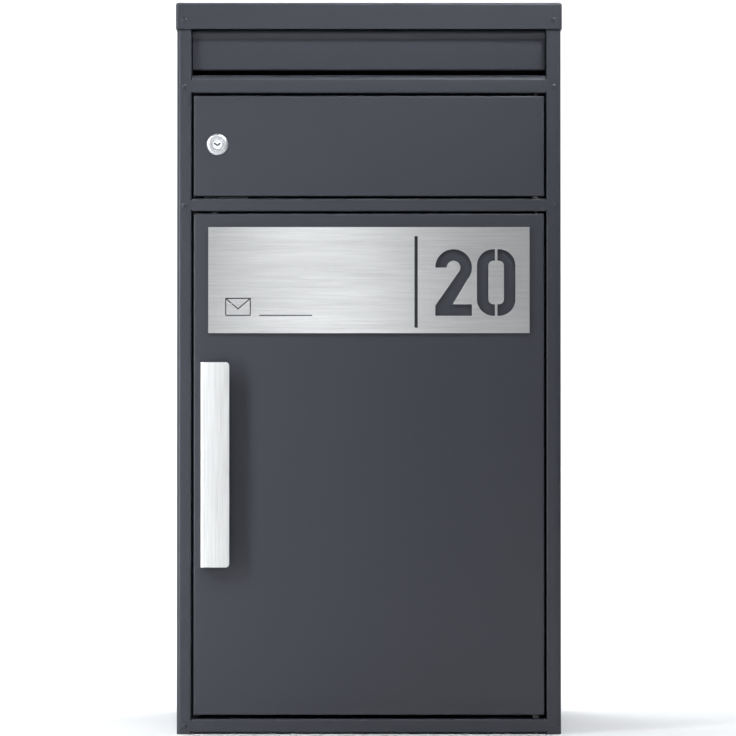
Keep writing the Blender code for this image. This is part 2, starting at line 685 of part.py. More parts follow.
def helix(centre, radius, wire, low, high, turns, around=14, sides=6):
    """Shell of a round wire wound about a vertical axis."""
    count = turns * around
    points = []
    for i in range(count + 1):
        angle = 2 * math.pi * i / around
        height = low + wire + (high - low - 2 * wire) * i / count
        for k in range(sides):
            turn = 2 * math.pi * k / sides
            out = radius + wire * math.cos(turn)
            x = centre[0] + out * math.cos(angle)
            y = centre[1] + out * math.sin(angle)
            points.append((x, y, height + wire * math.sin(turn)))
    faces = []
    for i in range(count):
        for k in range(sides):
            a, b = i * sides + k, i * sides + (k + 1) % sides
            faces.append([a, b, b + sides, a + sides])
    last = count * sides
    return points, faces + [list(range(sides))[::-1], list(range(last, last + sides))]


def latch(zinc, plastic):
    """Guide on the shelf and drop bolt with its spring; returns the bolt, then the lever that lifts it."""
    plan = (BOLT_X, BOLT_Y)
    base = SHELF_TOP + AIR + SHEET / 2
    wall = FRONT + 46.0
    front = LEVER_FRONT + LEVER_THICK + 0.8
    line = [(front, base), (wall, base), (wall, GUIDE_TOP), (front, GUIDE_TOP)]
    outline = strip(rounded(line, BEND), SHEET)
    guide = solid("latch_guide", zinc, prism(outline, "x", BOLT_X - 12.0, BOLT_X + 12.0))
    ear_low = (BOLT_X + 8.0, wall - SHEET / 2, base + 3.0)
    join(guide, box(ear_low, (LEVER_X + 11.0, wall + SHEET / 2, LEVER_Z + 12.0)))
    pivot = (LEVER_X, LEVER_Z)
    cut(
        guide,
        cylinder(plan, BOLT_RADIUS + 0.4, "z", base - 4.0, GUIDE_TOP + 4.0),
        cylinder(pivot, 2.3, "y", wall - 3.0, wall + 3.0, 12),
    )
    collar_low, collar_high = CROSS_PIN_Z - 4.6, CROSS_PIN_Z + 4.4
    rod = [
        (0.0, BOLT_TIP),
        (BOLT_RADIUS - 1.5, BOLT_TIP),
        (BOLT_RADIUS, BOLT_TIP + 3.0),
        (BOLT_RADIUS, collar_low),
        (6.5, collar_low),
        (6.5, collar_high),
        (BOLT_RADIUS, collar_high),
        (BOLT_RADIUS, BOLT_TOP - 1.0),
        (BOLT_RADIUS - 1.0, BOLT_TOP),
        (0.0, BOLT_TOP),
    ]
    bolt = solid("latch_bolt", zinc, turned(rod, "z", plan, 16))
    join(bolt, cylinder((BOLT_X, CROSS_PIN_Z), 2.0, "y", LEVER_FRONT - 0.5, BOLT_Y - 2.0, 12))
    spring = helix(plan, 5.4, 0.7, collar_high + AIR, GUIDE_TOP - SHEET / 2 - AIR, 4)
    solid("latch_spring", zinc, spring)
    lever_back = LEVER_FRONT + LEVER_THICK
    pin = [
        (0.0, LEVER_FRONT - 2.0),
        (4.0, LEVER_FRONT - 2.0),
        (4.0, LEVER_FRONT - AIR),
        (2.5, LEVER_FRONT - AIR),
        (2.5, lever_back + AIR),
        (4.0, lever_back + AIR),
        (4.0, wall - SHEET / 2 - AIR),
        (2.0, wall - SHEET / 2 - AIR),
        (2.0, wall + 2.0),
        (0.0, wall + 2.0),
    ]
    solid("lever_pivot_pin", zinc, turned(pin, "y", pivot, 16))
    lever, grip = release_lever(zinc, plastic, pivot)
    return [bolt], [lever, grip]


def release_lever(zinc, plastic, pivot):
    """Bar with a slot for the bolt's cross pin, and a cap on its finger end, both tilted as at rest."""
    lever_back = LEVER_FRONT + LEVER_THICK
    nose, finger = (LEVER_X - 26.0, LEVER_Z), (LEVER_X + 38.0, LEVER_Z)
    outline = arc(nose, 6.5, 90.0, 270.0, 6) + arc(finger, 5.0, -90.0, 90.0, 6)
    bar = prism(outline, "y", LEVER_FRONT, lever_back)
    lever = solid("release_lever", zinc, tilted(bar, pivot, -LEVER_TILT))
    slot_ends = [(LEVER_X - 26.2, LEVER_Z), (LEVER_X - 24.6, LEVER_Z)]
    slot = arc(slot_ends[0], 2.3, 90.0, 270.0, 6) + arc(slot_ends[1], 2.3, -90.0, 90.0, 6)
    through = (LEVER_FRONT - 2.0, lever_back + 2.0)
    cut(
        lever,
        tilted(prism(slot, "y", *through), pivot, -LEVER_TILT),
        cylinder(pivot, 2.5 + AIR, "y", *through),
    )
    cap_end, cap_half = LEVER_X + 26.0, 7.0
    cap = arc((LEVER_X + 40.0, LEVER_Z), cap_half, -90.0, 90.0, 8)
    cap += [(cap_end, LEVER_Z + cap_half), (cap_end, LEVER_Z - cap_half)]
    cap = prism(cap, "y", LEVER_FRONT - 2.4, lever_back + 2.4)
    grip = solid("lever_grip", plastic, tilted(cap, pivot, -LEVER_TILT))
    mouth, mouth_half = cap_end - 6.0, 6.1
    pocket = arc(finger, 5.0 + AIR, -90.0, 90.0, 8)
    pocket += [(mouth, LEVER_Z + mouth_half), (mouth, LEVER_Z - mouth_half)]
    cut(grip, tilted(prism(pocket, "y", LEVER_FRONT - AIR, lever_back + AIR), pivot, -LEVER_TILT))
    return lever, grip


def main():
    for thing in list(bpy.data.objects):
        bpy.data.objects.remove(thing)
    paint = material("anthracite_paint", (0.060, 0.066, 0.082), 0.42, 0.0)
    brushed = material("brushed_steel", (0.62, 0.62, 0.61), 0.32, 1.0)
    zinc = material("zinc_plate", (0.55, 0.56, 0.57), 0.38, 1.0)
    chrome = material("chrome", (0.78, 0.78, 0.80), 0.12, 1.0)
    rubber = material("black_rubber", (0.02, 0.02, 0.02), 0.8, 0.0)
    plastic = material("black_plastic", (0.03, 0.03, 0.03), 0.5, 0.0)
    blackened = material("black_steel", (0.045, 0.045, 0.048), 0.5, 0.0)
    carcass(paint)
    rivets(paint)
    hinges(blackened, plastic)
    door_buffers(rubber)
    on_axis("flap_axis", (0.0, ROD_Y, ROD_Z), [letter_flap(paint, blackened)])
    housing, turning = cam_lock(chrome, zinc)
    door_pieces = [letter_door(paint)] + housing
    door_axis = on_axis("letter_door_axis", (HINGE_X, HINGE_Y, LETTER_DOOR[0]), door_pieces)
    on_axis("lock_axis", (LOCK_X, FRONT, LOCK_Z), turning, door_axis)
    tall_door = parcel_door(paint, zinc) + handle(brushed, zinc) + name_plate(brushed, rubber)
    on_axis("parcel_door_axis", (HINGE_X, HINGE_Y, PARCEL_DOOR[0]), tall_door)
    bolt, lever = latch(zinc, plastic)
    on_axis("bolt_axis", (BOLT_X, BOLT_Y, BOLT_TIP), bolt)
    on_axis("lever_axis", (LEVER_X, LEVER_FRONT, LEVER_Z), lever)


main()
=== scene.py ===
"""Looks of the parcel letterbox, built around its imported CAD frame.

The sheet-metal pieces, lock, handle, plate, rivets, spring and buffers are made again with fine folds and
eased edges; the small inner pieces keep their CAD mesh and get a better material. Lengths are in metres; MM
turns small details into metres."""

import json
import math

import bmesh
import bpy
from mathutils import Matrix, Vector


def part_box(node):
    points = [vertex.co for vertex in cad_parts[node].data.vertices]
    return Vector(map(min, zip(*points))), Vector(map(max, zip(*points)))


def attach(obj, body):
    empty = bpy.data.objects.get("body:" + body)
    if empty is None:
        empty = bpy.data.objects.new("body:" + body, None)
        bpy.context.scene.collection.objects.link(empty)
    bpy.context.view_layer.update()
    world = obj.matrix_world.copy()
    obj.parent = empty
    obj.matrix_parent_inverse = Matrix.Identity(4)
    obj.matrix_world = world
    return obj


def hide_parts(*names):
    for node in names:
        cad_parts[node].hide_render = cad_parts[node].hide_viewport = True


MM = 0.001
SHEET = 1.2 * MM
FOLD = 1.4 * MM  # centre-line radius of a fold in the sheet
FOLD_STEPS = 8
AXES = {"x": (1, 2, 0), "y": (0, 2, 1), "z": (0, 1, 2)}  # where an outline's u, v and its length go

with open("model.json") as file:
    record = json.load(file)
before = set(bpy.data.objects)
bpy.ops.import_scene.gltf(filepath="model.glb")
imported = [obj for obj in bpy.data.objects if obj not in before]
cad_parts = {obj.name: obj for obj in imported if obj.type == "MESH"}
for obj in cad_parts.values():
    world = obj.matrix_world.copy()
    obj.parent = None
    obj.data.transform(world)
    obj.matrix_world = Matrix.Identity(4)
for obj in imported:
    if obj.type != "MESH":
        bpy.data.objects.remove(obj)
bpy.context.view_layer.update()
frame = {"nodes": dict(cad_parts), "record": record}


# Shells: (points, faces) of closed shapes, from outlines in a plane ---------------------------------------


def rounded(line, radii, steps=FOLD_STEPS):
    """The open line with its inner corners turned into arcs. radii is one radius, or one for each corner."""
    radii = radii if isinstance(radii, (list, tuple)) else [radii] * (len(line) - 2)
    points = [line[0]]
    for i, radius in enumerate(radii, start=1):
        (ax, ay), (bx, by), (cx, cy) = line[i - 1 : i + 2]
        start = math.atan2(by - ay, bx - ax)
        turn = math.remainder(math.atan2(cy - by, cx - bx) - start, 2 * math.pi)
        back = radius * math.tan(abs(turn) / 2)
        side = math.copysign(radius, turn)
        x = bx - back * math.cos(start) - side * math.sin(start)
        y = by - back * math.sin(start) + side * math.cos(start)
        for k in range(steps + 1):
            heading = start + turn * k / steps
            points.append((x + side * math.sin(heading), y - side * math.cos(heading)))
    return points + [line[-1]]


def strip(line, thickness):
    """Outline of a sheet of this thickness whose centre follows the open line."""
    sides = ([], [])
    last = len(line) - 1
    for i, (x, y) in enumerate(line):
        before, after = line[max(i - 1, 0)], line[min(i + 1, last)]
        out = math.atan2(after[1] - y, after[0] - x) if i < last else math.atan2(y - before[1], x - before[0])
        into = math.atan2(y - before[1], x - before[0]) if i else out
        half_turn = math.remainder(out - into, 2 * math.pi) / 2
        reach = thickness / 2 / math.cos(half_turn)
        normal = into + half_turn + math.pi / 2
        for side, sign in zip(sides, (1, -1)):
            side.append((x + sign * reach * math.cos(normal), y + sign * reach * math.sin(normal)))
    return sides[0] + sides[1][::-1]


def arc(centre, radius, start, end, steps):
    angles = [math.radians(start + (end - start) * k / steps) for k in range(steps + 1)]
    return [(centre[0] + radius * math.cos(a), centre[1] + radius * math.sin(a)) for a in angles]


def prism(outline, axis, low, high):
    u, v, w = AXES[axis]
    points = []
    for length in (low, high):
        for point in outline:
            place = [0.0, 0.0, 0.0]
            place[u], place[v], place[w] = point[0], point[1], length
            points.append(place)
    count = len(outline)
    ends = [list(range(count))[::-1], list(range(count, 2 * count))]
    walls = [[i, (i + 1) % count, count + (i + 1) % count, count + i] for i in range(count)]
    return points, ends + walls


def box(low, high):
    outline = [(low[0], low[1]), (high[0], low[1]), (high[0], high[1]), (low[0], high[1])]
    return prism(outline, "z", low[2], high[2])


def turned(profile, axis, centre, segments=48, ring=False):
    """A profile of (radius, place along the axis) turned about the axis through centre."""
    u, v, w = AXES[axis]
    points, rows, faces = [], [], []
    for radius, length in profile:
        row = []
        for k in range(segments if radius > 0 else 1):
            angle = 2 * math.pi * k / segments
            place = [0.0, 0.0, 0.0]
            place[u] = centre[0] + radius * math.cos(angle)
            place[v] = centre[1] + radius * math.sin(angle)
            place[w] = length
            row.append(len(points))
            points.append(place)
        rows.append(row)
    for i in range(len(rows) if ring else len(rows) - 1):
        a, b = rows[i], rows[(i + 1) % len(rows)]
        for k in range(segments):
            after = (k + 1) % segments
            face = [a[k % len(a)], a[after % len(a)], b[after % len(b)], b[k % len(b)]]
            faces.append(list(dict.fromkeys(face)))
    return points, faces


def cylinder(centre, radius, axis, low, high, segments=48):
    return turned([(0, low), (radius, low), (radius, high), (0, high)], axis, centre, segments)


# Pieces ---------------------------------------------------------------------------------------------------


def mesh_of(name, shells):
    build = bmesh.new()
    for points, faces in shells:
        corners = [build.verts.new(point) for point in points]
        for face in faces:
            build.faces.new([corners[i] for i in face])
    bmesh.ops.recalc_face_normals(build, faces=build.faces)
    mesh = bpy.data.meshes.new(name)
    build.to_mesh(mesh)
    build.free()
    return mesh


def place(name, mesh):
    mesh.shade_smooth()
    mesh.set_sharp_from_angle(angle=math.radians(32.0))
    piece = bpy.data.objects.new(name, mesh)
    bpy.context.scene.collection.objects.link(piece)
    return piece


def apply_modifiers(piece):
    """Swaps the piece's mesh for its evaluated one, so that no helper has to stay in the scene."""
    graph = bpy.context.evaluated_depsgraph_get()
    mesh = bpy.data.meshes.new_from_object(piece.evaluated_get(graph))
    piece.modifiers.clear()
    piece.data = mesh
    return piece


def combine(piece, operation, shells):
    helper = place(f"{piece.name}_helper", mesh_of(piece.name, shells))
    change = piece.modifiers.new("combine", "BOOLEAN")
    change.operation = operation
    change.solver = "EXACT"
    change.object = helper
    bpy.context.view_layer.update()
    apply_modifiers(piece)
    bpy.data.objects.remove(helper)
    return piece


def cut(piece, *shells):
    return combine(piece, "DIFFERENCE", shells)


def join(piece, *shells):
    return combine(piece, "UNION", shells)


def ease_edges(piece, width=0.2 * MM, segments=2):
    """Rounds the sharp edges a little, and keeps the flats flat under smooth shading."""
    bevel = piece.modifiers.new("eased edges", "BEVEL")
    bevel.width = width
    bevel.segments = segments
    bevel.limit_method = "ANGLE"
    bevel.angle_limit = math.radians(50.0)
    bevel.harden_normals = True
    bevel.miter_outer = "MITER_ARC"
    return piece


def show(piece, body, slot, look, *replaced):
    piece.data.materials.clear()
    piece.data.materials.append(look)
    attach(piece, body)
    if replaced:
        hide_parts(*replaced)
    return piece


def solid(name, *shells):
    return place(name, mesh_of(name, shells))


def painted(piece, body, node):
    """Eases a sheet-metal piece and shows it in paint, in place of its CAD node."""
    return show(ease_edges(piece), body, "anthracite_paint", PAINT, node)


# Driving places, read from the frame ------------------------------------------------------------------------


def middle_of(node):
    low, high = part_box(node)
    return (low + high) / 2


def half_width_of(node):
    low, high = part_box(node)
    return (high.x - low.x) / 2


right_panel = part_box("right_side_panel")
roof_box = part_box("roof")
HALF_WIDTH = right_panel[1].x
COLUMN = 16 * MM  # width of the columns' front faces
COLUMN_EDGE = 3.4 * MM  # fold radius of their outer edges
COLUMN_INNER = HALF_WIDTH - COLUMN
STOP_EDGE = -(COLUMN_INNER - 8 * MM)  # free edge of the stop behind the doors' lock side
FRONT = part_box("upper_rail")[0].y
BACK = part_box("back_panel")[1].y
PANEL_TOP = right_panel[1].z
REAR_FLANGE_Y = right_panel[1].y - SHEET / 2
CLEAR = 0.3 * MM  # gap between neighbours that would touch
RIVET_HOLE = 1.9 * MM  # these are the radii of the holes for each fastener
PIN_HOLE = 2.3 * MM
SCREW_HOLE = 2.3 * MM
ROD_HOLE = 2.8 * MM
BOLT_HOLE = 4.6 * MM
WALL_SCREW_HOLE = 4.5 * MM
LOCK_HOLE = 9.8 * MM
SILL_FOLD = 6.0 * MM  # fold radius of the upper rail's front edge, under the flap
RAIL_NAMES = ("top_rail", "upper_rail", "middle_rail", "lower_rail")
RIVET_NAMES = ("roof", "upper", "middle", "lower")
PIN_NAMES = (
    "letter_hinge_pin_upper",
    "letter_hinge_pin_lower",
    "parcel_hinge_pin_upper",
    "parcel_hinge_pin_lower",
)


def rivet_places(side_name):
    return [middle_of(f"rivet_{name}_{side_name}") for name in RIVET_NAMES]


def screw_places():
    return [middle_of("handle_screw_lower"), middle_of("handle_screw_upper")]


def sheet(name, line, radii, axis, low, high, thickness=SHEET):
    """A folded sheet: the line's corners rounded, thickened, and swept along the axis."""
    return solid(name, prism(strip(rounded(line, radii), thickness), axis, low, high))


def pierced(piece, places, radius, low, high, axis="y"):
    u, v = AXES[axis][:2]
    return cut(piece, *[cylinder((at[u], at[v]), radius, axis, low, high, 24) for at in places])


def round_edges(piece, radius, chosen, segments=6):
    """Bevels the mesh edges that chosen(a, b) accepts."""
    build = bmesh.new()
    build.from_mesh(piece.data)
    edges = [edge for edge in build.edges if chosen(edge.verts[0].co, edge.verts[1].co)]
    bmesh.ops.bevel(build, geom=edges, offset=radius, segments=segments, profile=0.5, affect="EDGES")
    build.to_mesh(piece.data)
    build.free()
    return piece


# Materials --------------------------------------------------------------------------------------------------

MIX_FACTOR, MIX_A, MIX_B, MIX_COLOUR = 0, 6, 7, 2  # the Mix node's sockets for colours
SCRATCH_SWING = 0.03  # how far the scratches move the roughness of brushed steel


def material(name, colour, roughness, metallic=0.0):
    made = bpy.data.materials.new(name)
    made.use_nodes = True
    shader = shader_of(made)[1]
    shader.inputs["Base Color"].default_value = (*colour, 1.0)
    shader.inputs["Roughness"].default_value = roughness
    shader.inputs["Metallic"].default_value = metallic
    return made


def shader_of(made):
    return made.node_tree, made.node_tree.nodes["Principled BSDF"]


def add(tree, kind, inputs, **settings):
    """Adds a node; an input is either a value or the socket that feeds it."""
    node = tree.nodes.new(kind)
    for name, value in settings.items():
        setattr(node, name, value)
    for name, value in inputs.items():
        if isinstance(value, bpy.types.NodeSocket):
            tree.links.new(value, node.inputs[name])
        else:
            node.inputs[name].default_value = value
    return node


def noise(tree, per_metre, detail=2.0, roughness=0.5):
    """Noise over the object's own coordinates, with its own frequency along x, y and z."""
    place = add(tree, "ShaderNodeTexCoord", {}).outputs["Object"]
    scaled = add(tree, "ShaderNodeMapping", {"Vector": place, "Scale": per_metre}).outputs["Vector"]
    values = {"Vector": scaled, "Scale": 1.0, "Detail": detail, "Roughness": roughness}
    return add(tree, "ShaderNodeTexNoise", values).outputs["Fac"]


def stretched(across, lengthwise, along):
    """Noise frequencies for a grain that runs along one axis."""
    return [lengthwise if axis == along else across for axis in "xyz"]


def spread(tree, value, low, high):
    """Maps a noise value's useful range, 0.3 to 0.7, onto low to high."""
    inputs = {"Value": value, "From Min": 0.3, "From Max": 0.7, "To Min": low, "To Max": high}
    return add(tree, "ShaderNodeMapRange", inputs).outputs["Result"]


def tinted(tree, value, dark, light):
    """A colour between dark, where the value is 0, and light, where it is 1."""
    mix = add(tree, "ShaderNodeMix", {}, data_type="RGBA")
    tree.links.new(value, mix.inputs[MIX_FACTOR])
    mix.inputs[MIX_A].default_value = (*dark, 1.0)
    mix.inputs[MIX_B].default_value = (*light, 1.0)
    return mix.outputs[MIX_COLOUR]


def multiplied(tree, first, second):
    mix = add(tree, "ShaderNodeMix", {}, data_type="RGBA", blend_type="MULTIPLY")
    mix.inputs[MIX_FACTOR].default_value = 1.0
    tree.links.new(first, mix.inputs[MIX_A])
    tree.links.new(second, mix.inputs[MIX_B])
    return mix.outputs[MIX_COLOUR]


def bump(tree, height, depth, under=None):
    """Bump of this depth in metres, on top of another one where given."""
    inputs = {"Height": height, "Strength": 1.0, "Distance": depth}
    if under:
        inputs["Normal"] = under
    return add(tree, "ShaderNodeBump", inputs).outputs["Normal"]


def shade(colour, factor):
    return tuple(channel * factor for channel in colour)


def powder_coat(name, colour, roughness):
    """Matt polyester powder: fine orange peel, a finer grit, and a faint drift in film thickness."""
    made = material(name, colour, roughness)
    tree, shader = shader_of(made)
    drift = noise(tree, (5.0, 5.0, 5.0), 3.0)
    grit = noise(tree, (2400.0, 2400.0, 2400.0), 2.0, 0.6)
    peel = noise(tree, (620.0, 620.0, 620.0), 2.0, 0.4)
    speckle = tinted(tree, spread(tree, grit, 0.0, 1.0), shade(colour, 0.86), shade(colour, 1.14))
    film = tinted(tree, spread(tree, drift, 0.0, 1.0), (0.94, 0.95, 0.97), (1.0, 1.0, 1.0))
    tree.links.new(multiplied(tree, speckle, film), shader.inputs["Base Color"])
    tree.links.new(spread(tree, peel, roughness - 0.05, roughness + 0.05), shader.inputs["Roughness"])
    smooth = bump(tree, peel, 0.045 * MM)
    tree.links.new(bump(tree, grit, 0.008 * MM, smooth), shader.inputs["Normal"])
    return made


def brushed_steel(name, colour, roughness, along, tangent_axis):
    """Stainless sheet brushed along one axis: long fine scratches over broader, softer bands.

    The tangent is radial about tangent_axis, so on a face that looks along y it lies across that axis."""
    made = material(name, colour, roughness, 1.0)
    tree, shader = shader_of(made)
    shader.inputs["Anisotropic"].default_value = 0.8
    scratches = noise(tree, stretched(2600.0, 18.0, along), 3.0, 0.65)
    bands = noise(tree, stretched(640.0, 20.0, along), 2.0)
    patches = noise(tree, stretched(60.0, 6.0, along), 2.0)
    colours = tinted(tree, spread(tree, scratches, 0.0, 1.0), shade(colour, 0.90), shade(colour, 1.04))
    banding = tinted(tree, spread(tree, bands, 0.0, 1.0), (0.88, 0.88, 0.88), (1.0, 1.0, 1.0))
    tree.links.new(multiplied(tree, colours, banding), shader.inputs["Base Color"])
    rough = spread(tree, patches, roughness - 0.015, roughness + 0.015)
    streaks = spread(tree, scratches, -SCRATCH_SWING, SCRATCH_SWING)
    streaked = add(tree, "ShaderNodeMath", {0: rough, 1: streaks}, operation="ADD")
    tree.links.new(streaked.outputs[0], shader.inputs["Roughness"])
    tree.links.new(bump(tree, scratches, 0.002 * MM), shader.inputs["Normal"])
    direction = add(tree, "ShaderNodeTangent", {}, direction_type="RADIAL", axis=tangent_axis)
    tree.links.new(direction.outputs[0], shader.inputs["Tangent"])
    return made


def plated(name, dark, light, roughness, cell, depth):
    """Plated or cast metal with a cloudy, slightly uneven surface; cell is the clouds' size."""
    made = material(name, light, roughness, 1.0)
    tree, shader = shader_of(made)
    clouds = noise(tree, [1.0 / cell] * 3, 4.0, 0.6)
    pits = noise(tree, (3000.0, 3000.0, 3000.0), 2.0)
    tree.links.new(tinted(tree, spread(tree, clouds, 0.0, 1.0), dark, light), shader.inputs["Base Color"])
    tree.links.new(spread(tree, clouds, roughness + 0.1, roughness), shader.inputs["Roughness"])
    tree.links.new(bump(tree, pits, depth), shader.inputs["Normal"])
    return made


def moulded(name, colour, roughness, grain, depth):
    """Moulded rubber or plastic with an even spark-eroded grain."""
    made = material(name, colour, roughness)
    tree, shader = shader_of(made)
    texture = noise(tree, [1.0 / grain] * 3, 3.0, 0.6)
    scuffs = noise(tree, (90.0, 90.0, 90.0), 4.0, 0.7)
    worn = tinted(tree, spread(tree, scuffs, 0.0, 1.0), shade(colour, 0.8), shade(colour, 1.25))
    tree.links.new(worn, shader.inputs["Base Color"])
    tree.links.new(spread(tree, texture, roughness - 0.08, roughness + 0.08), shader.inputs["Roughness"])
    tree.links.new(bump(tree, texture, depth), shader.inputs["Normal"])
    return made


PAINT = powder_coat("anthracite powder coat", (0.026, 0.028, 0.0365), 0.42)
PLATE_STEEL = brushed_steel("steel brushed lengthwise", (0.80, 0.80, 0.79), 0.24, "x", "X")
HANDLE_STEEL = brushed_steel("steel brushed upright", (0.74, 0.74, 0.73), 0.38, "z", "Z")
CHROME = plated("satin chrome", (0.66, 0.67, 0.69), (0.86, 0.86, 0.87), 0.30, 6 * MM, 0.003 * MM)
PLUG = plated("satin plug", (0.60, 0.61, 0.62), (0.86, 0.86, 0.86), 0.52, 1.2 * MM, 0.01 * MM)
ZINC = plated("clear zinc plate", (0.38, 0.40, 0.42), (0.66, 0.67, 0.66), 0.34, 4 * MM, 0.01 * MM)
RUBBER = moulded("black rubber", (0.012, 0.012, 0.012), 0.72, 0.5 * MM, 0.03 * MM)
PLASTIC = moulded("black plastic", (0.015, 0.015, 0.016), 0.48, 0.35 * MM, 0.02 * MM)
BLACK_STEEL = plated("blackened steel", (0.020, 0.020, 0.022), (0.045, 0.045, 0.048), 0.45, 3 * MM, 0.01 * MM)
# Black fill for the real engravings; the same material is painted shade at the keyway's bottom.
INK_AND_PAINTED_SHADE = moulded("engraving fill and keyway painted shade", (0.010, 0.010, 0.011), 0.6, 0.3 * MM, 0.02 * MM)


# Cabinet ----------------------------------------------------------------------------------------------------


def side_panel(name, side, side_name):
    """Web, front column and return in one sheet; the lock side's return also carries the door stop."""
    web = side * (HALF_WIDTH - SHEET / 2)
    inner = side * (COLUMN_INNER + SHEET / 2)
    stop_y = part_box("lock_cam")[0].y - CLEAR - SHEET / 2
    line = [
        (inner, stop_y),
        (inner, FRONT + SHEET / 2),
        (web, FRONT + SHEET / 2),
        (web, REAR_FLANGE_Y),
        (side * COLUMN_INNER, REAR_FLANGE_Y),
    ]
    radii = [FOLD, COLUMN_EDGE, FOLD]
    if side < 0:
        line.insert(0, (STOP_EDGE, stop_y))
        radii.insert(0, FOLD)
    panel = sheet(name, line, radii, "z", 0.0, PANEL_TOP)
    foot_reach = 25 * MM
    foot_x = sorted((web, side * (HALF_WIDTH - foot_reach)))
    join(panel, box((foot_x[0], FRONT + COLUMN_EDGE + SHEET / 2, 0.0), (foot_x[1], BACK - 3 * MM, SHEET)))
    slot_x = sorted((side * (COLUMN_INNER - 1 * MM), side * (COLUMN_INNER + 3 * MM)))
    rod = middle_of("flap_rod")
    openings = [cylinder((rod.y, rod.z), ROD_HOLE, "x", *slot_x)]
    for node in RAIL_NAMES:
        slot_z = (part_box(node)[0].z + 1.6 * MM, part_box(node)[1].z - 1.2 * MM)
        slot_front = (slot_x[0], FRONT + 1.3 * MM, slot_z[0])
        openings.append(box(slot_front, (slot_x[1], FRONT + 3.1 * MM, slot_z[1])))
    if side < 0:
        stop_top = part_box("upper_rail")[1].z + 1.5 * MM
        lip_front = (slot_x[0], stop_y - 2.9 * MM, stop_top)
        openings.append(box(lip_front, (STOP_EDGE + 2 * MM, stop_y + 3 * MM, 1.0)))
    cut(panel, *openings)
    pierced(panel, rivet_places(side_name), RIVET_HOLE, FRONT - 1 * MM, FRONT + 1.5 * MM)
    return painted(panel, "cabinet", name)


def rail(name, corner=FOLD):
    """Channel with a joggled tab behind each column. corner is the fold radius of its upper front edge."""
    low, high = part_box(name)
    end = COLUMN_INNER - CLEAR
    bottom_flange = 7 * MM if name == "top_rail" else 16 * MM
    line = [
        (FRONT + bottom_flange, low.z + SHEET / 2),
        (FRONT + SHEET / 2, low.z + SHEET / 2),
        (FRONT + SHEET / 2, high.z - SHEET / 2),
        (high.y, high.z - SHEET / 2),
    ]
    channel = sheet(name, line, [FOLD, corner], "x", -end, end)
    tab_front, tab_back = FRONT + SHEET + 0.4 * MM, FRONT + 2 * SHEET + 0.4 * MM
    tab_top = high.z - max(2 * MM, corner)
    for side in (-1, 1):
        neck = sorted((side * (end - 3 * MM), side * (end - CLEAR / 2)))
        tab = sorted((side * (end - 2 * MM), side * high.x))
        neck_low = (neck[0], FRONT + CLEAR, low.z + 2.2 * MM)
        join(channel, box(neck_low, (neck[1], tab_back, tab_top - 0.3 * MM)))
        join(channel, box((tab[0], tab_front, low.z + 2 * MM), (tab[1], tab_back, tab_top)))
        flush = sorted((side * (end - 3 * MM), side * (COLUMN_INNER + 1.7 * MM)))
        join(channel, box((flush[0], FRONT, low.z + 1.9 * MM), (flush[1], FRONT + 0.7 * MM, tab_top)))
    index = RAIL_NAMES.index(name)
    places = [rivet_places(side_name)[index] for side_name in ("left", "right")]
    pierced(channel, places, RIVET_HOLE, FRONT, FRONT + 5 * MM)
    pins = [pin for pin in PIN_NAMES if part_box(pin)[0].z < high.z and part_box(pin)[1].z > low.z]
    for pin in pins:
        inside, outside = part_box(pin)
        pierced(channel, [middle_of(pin)], PIN_HOLE, inside.z - 1 * MM, outside.z + 1 * MM, "z")
    return painted(channel, "cabinet", name)


def roof():
    """Cap with rounded folds, closed corners, a hemmed front lip and a flange behind the back panel."""
    low, high = roof_box
    sheet_thick = 1.0 * MM
    lip_front = low.y
    lip_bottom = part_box("rivet_roof_left")[0].z - 6.3 * MM
    cap = solid("roof", box((-high.x, lip_front, lip_bottom), (high.x, high.y, high.z)))

    def folded(a, b):
        top = a.z > high.z - 1 * MM and b.z > high.z - 1 * MM and min(a.y, b.y) < FRONT
        corner = a.y < FRONT and b.y < FRONT and abs(a.z - b.z) > 1 * MM
        return top or corner

    round_edges(cap, 3.0 * MM, folded, 10)
    inner = high.x - sheet_thick
    hollow_front = lip_front + sheet_thick
    cut(cap, box((-inner, hollow_front, lip_bottom - 5 * MM), (inner, high.y + 5 * MM, high.z - sheet_thick)))
    hem_front, hem_back = lip_front + sheet_thick / 2, FRONT - CLEAR
    hem_half = inner + 0.4 * MM
    join(cap, box((-hem_half, hem_front, lip_bottom), (hem_half, hem_back, lip_bottom + 8 * MM)))
    flange_half, flange_foot = 192 * MM, 778 * MM
    flange_low = (-flange_half, BACK - 2.9 * MM, flange_foot)
    join(cap, box(flange_low, (flange_half, BACK - 1.7 * MM, high.z - sheet_thick / 2)))
    tab_foot, tab_top = 775 * MM, 797 * MM
    for side in (-1, 1):
        tab = sorted((side * (COLUMN_INNER + 1 * MM), side * hem_half))
        join(cap, box((tab[0], hem_front, tab_foot), (tab[1], hem_back, tab_top)))
    places = [middle_of(f"rivet_roof_{side_name}") for side_name in ("left", "right")]
    pierced(cap, places, RIVET_HOLE, lip_front - 2 * MM, FRONT + 1 * MM)
    return painted(cap, "cabinet", "roof")


def back_panel():
    low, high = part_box("back_panel")
    panel = solid("back_panel", box((low.x, BACK - SHEET, low.z), (high.x, BACK, high.z)))
    holes = [Vector((x, 0.0, z)) for x in (-150 * MM, 150 * MM) for z in (100 * MM, 700 * MM)]
    pierced(panel, holes, WALL_SCREW_HOLE, BACK - 3 * MM, BACK + 2 * MM)
    return show(ease_edges(panel, 0.3 * MM), "cabinet", "anthracite_paint", PAINT, "back_panel")


